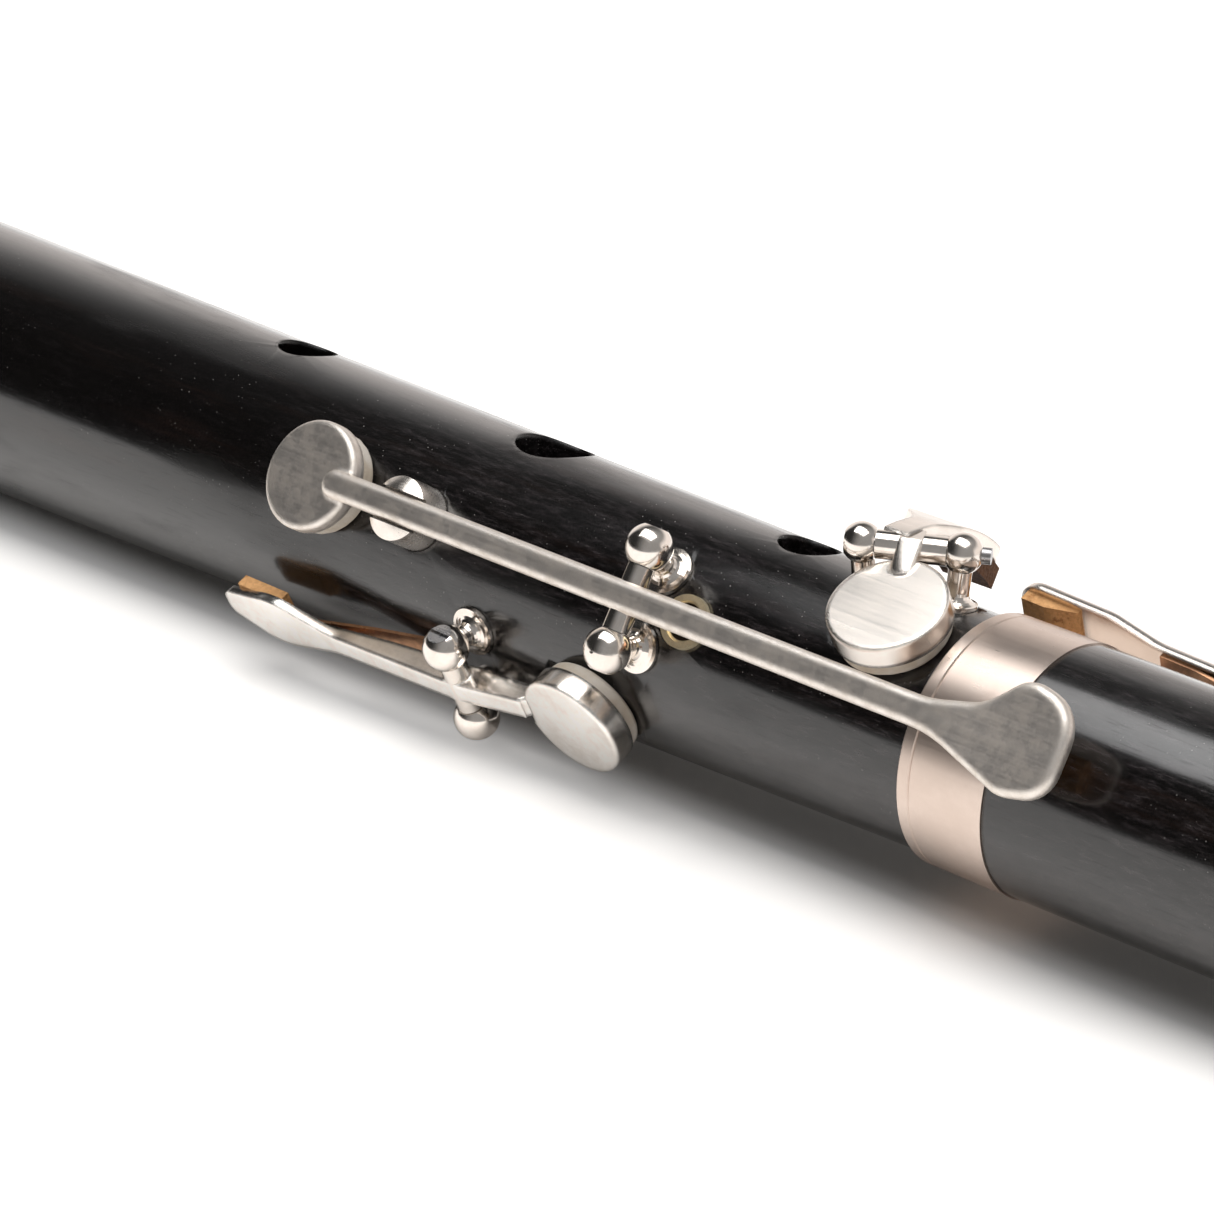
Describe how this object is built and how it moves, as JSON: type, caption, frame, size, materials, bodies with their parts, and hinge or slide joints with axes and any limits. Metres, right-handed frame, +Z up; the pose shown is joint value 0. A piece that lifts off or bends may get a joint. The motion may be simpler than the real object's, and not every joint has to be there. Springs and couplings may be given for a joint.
{
  "type": "keyed wooden flute",
  "caption": "Simple-system transverse flute in black wood with a conical bore, tuning slide, corked tenons and sprung silver keys on ball-headed posts.",
  "frame": {"origin": "centre of the bore at the open end of the foot joint", "axes": "+X along the bore out of the foot, +Z up as the flute lies on a table with its mouth hole upwards, -Y towards the player"},
  "size_m": [0.616, 0.0369, 0.0347],
  "materials": {
    "blackwood": "oiled and polished, satin black",
    "key_silver": "polished silver with a light tarnish",
    "ring_silver": "polished silver, warm",
    "slide_metal": "drawn silver tube",
    "steel": "turned steel",
    "spring_bronze": "rolled phosphor bronze",
    "brass": "dull brass",
    "pad_leather": "cream leather",
    "key_cork": "cut cork",
    "dark_cork": "aged cork",
    "tenon_cork": "wrapped cork, greased"
  },
  "bodies": {
    "upper_section": {"upper_body": "blackwood", "barrel_tenon_cork": "tenon_cork", "middle_tenon_cork": "tenon_cork", "c_key_guide": "key_silver", "c_spring_seat": "brass", "c_key_posts": "key_silver", "c_key_screw": "steel", "b_flat_key_posts": "key_silver", "b_flat_key_screw": "steel", "g_sharp_key_posts": "key_silver", "g_sharp_key_screw": "steel"},
    "barrel": {"barrel": "blackwood", "barrel_rings": "ring_silver", "barrel_lining": "slide_metal"},
    "head": {"head_joint": "blackwood", "head_lining": "slide_metal", "head_ring": "ring_silver"},
    "crown": {"crown_cap": "blackwood"},
    "stopper": {"stopper_cork": "tenon_cork", "stopper_rod": "steel"},
    "lower_section": {"lower_body": "blackwood", "lower_body_ring": "ring_silver", "foot_tenon_cork": "tenon_cork", "long_f_key_posts": "key_silver", "long_f_key_screw": "steel", "short_f_key_posts": "key_silver", "short_f_key_screw": "steel"},
    "foot": {"foot_joint": "blackwood", "foot_rings": "ring_silver", "e_flat_key_posts": "key_silver", "e_flat_key_screw": "steel"},
    "c_key": {"c_key_lever": "key_silver", "c_key_pad": "pad_leather", "c_key_spring": "spring_bronze", "c_key_cork": "key_cork"},
    "b_flat_key": {"b_flat_key_lever": "key_silver", "b_flat_key_pad": "pad_leather", "b_flat_key_spring": "spring_bronze", "b_flat_key_cork": "key_cork"},
    "g_sharp_key": {"g_sharp_key_lever": "key_silver", "g_sharp_key_pad": "pad_leather", "g_sharp_key_spring": "spring_bronze", "g_sharp_key_cork": "dark_cork"},
    "long_f_key": {"long_f_key_lever": "key_silver", "long_f_key_pad": "pad_leather", "long_f_key_spring": "spring_bronze", "long_f_key_cork": "key_cork"},
    "short_f_key": {"short_f_key_lever": "key_silver", "short_f_key_pad": "pad_leather", "short_f_key_spring": "spring_bronze", "short_f_key_cork": "dark_cork"},
    "e_flat_key": {"e_flat_key_lever": "key_silver", "e_flat_key_pad": "pad_leather", "e_flat_key_spring": "spring_bronze", "e_flat_key_cork": "key_cork"}
  },
  "joints": [
    {"name": "c_key_press", "type": "hinge", "parent": "upper_section", "child": "c_key", "pos_m": [-0.2225, -0.0137, 0.00846], "axis": [0, 0.5255, 0.8508], "range_deg": [0, 3.7], "stiffness_Nm_per_rad": 0.1, "springref_deg": -6.88, "deforming": ["c_key_spring"]},
    {"name": "b_flat_key_press", "type": "hinge", "parent": "upper_section", "child": "b_flat_key", "pos_m": [-0.244, -0.01459, -0.00727], "axis": [0, 0.4462, -0.8949], "range_deg": [0, 3.8], "stiffness_Nm_per_rad": 0.1, "springref_deg": -6.88, "deforming": ["b_flat_key_spring"]},
    {"name": "g_sharp_key_press", "type": "hinge", "parent": "upper_section", "child": "g_sharp_key", "pos_m": [-0.1991, -0.00015, 0.0169], "axis": [-0.8763, -0.4817, -0.0042], "range_deg": [0, 12.5], "stiffness_Nm_per_rad": 0.1, "springref_deg": -6.88, "deforming": ["g_sharp_key_spring"]},
    {"name": "long_f_key_press", "type": "hinge", "parent": "lower_section", "child": "long_f_key", "pos_m": [-0.15, 0.0133, 0.00551], "axis": [0.0698, -0.3818, 0.9216], "range_deg": [0, 2.1], "stiffness_Nm_per_rad": 0.1, "springref_deg": -6.88, "deforming": ["long_f_key_spring"]},
    {"name": "short_f_key_press", "type": "hinge", "parent": "lower_section", "child": "short_f_key", "pos_m": [-0.1065, 0, 0.0166], "axis": [-0.8763, 0.4818, 0], "range_deg": [0, 13.9], "stiffness_Nm_per_rad": 0.1, "springref_deg": -6.88, "deforming": ["short_f_key_spring"]},
    {"name": "e_flat_key_press", "type": "hinge", "parent": "foot", "child": "e_flat_key", "pos_m": [-0.053, 0.01255, 0.00784], "axis": [0, -0.5299, 0.848], "range_deg": [0, 4.8], "stiffness_Nm_per_rad": 0.1, "springref_deg": -6.88, "deforming": ["e_flat_key_spring"]},
    {"name": "barrel_turn", "type": "hinge", "parent": "upper_section", "child": "barrel", "pos_m": [-0.379, 0, 0], "axis": [1, 0, 0], "range_deg": [-20, 20]},
    {"name": "head_tuning_slide", "type": "slide", "parent": "barrel", "child": "head", "axis": [-1, 0, 0], "range_m": [0, 0.02]},
    {"name": "crown_turn", "type": "hinge", "parent": "head", "child": "crown", "pos_m": [-0.61, 0, 0], "axis": [1, 0, 0], "range_deg": [-360, 360]},
    {"name": "stopper_slide", "type": "slide", "parent": "head", "child": "stopper", "axis": [1, 0, 0], "range_m": [-0.002, 0.002]},
    {"name": "middle_turn", "type": "hinge", "parent": "upper_section", "child": "lower_section", "pos_m": [-0.18, 0, 0], "axis": [1, 0, 0], "range_deg": [-5, 5]},
    {"name": "foot_turn", "type": "hinge", "parent": "lower_section", "child": "foot", "pos_m": [-0.063, 0, 0], "axis": [1, 0, 0], "range_deg": [-15, 15]}
  ],
  "couplings": [
    {"joint": "stopper_slide", "follows": "crown_turn", "m_per_rad": 0.00031831}
  ]
}
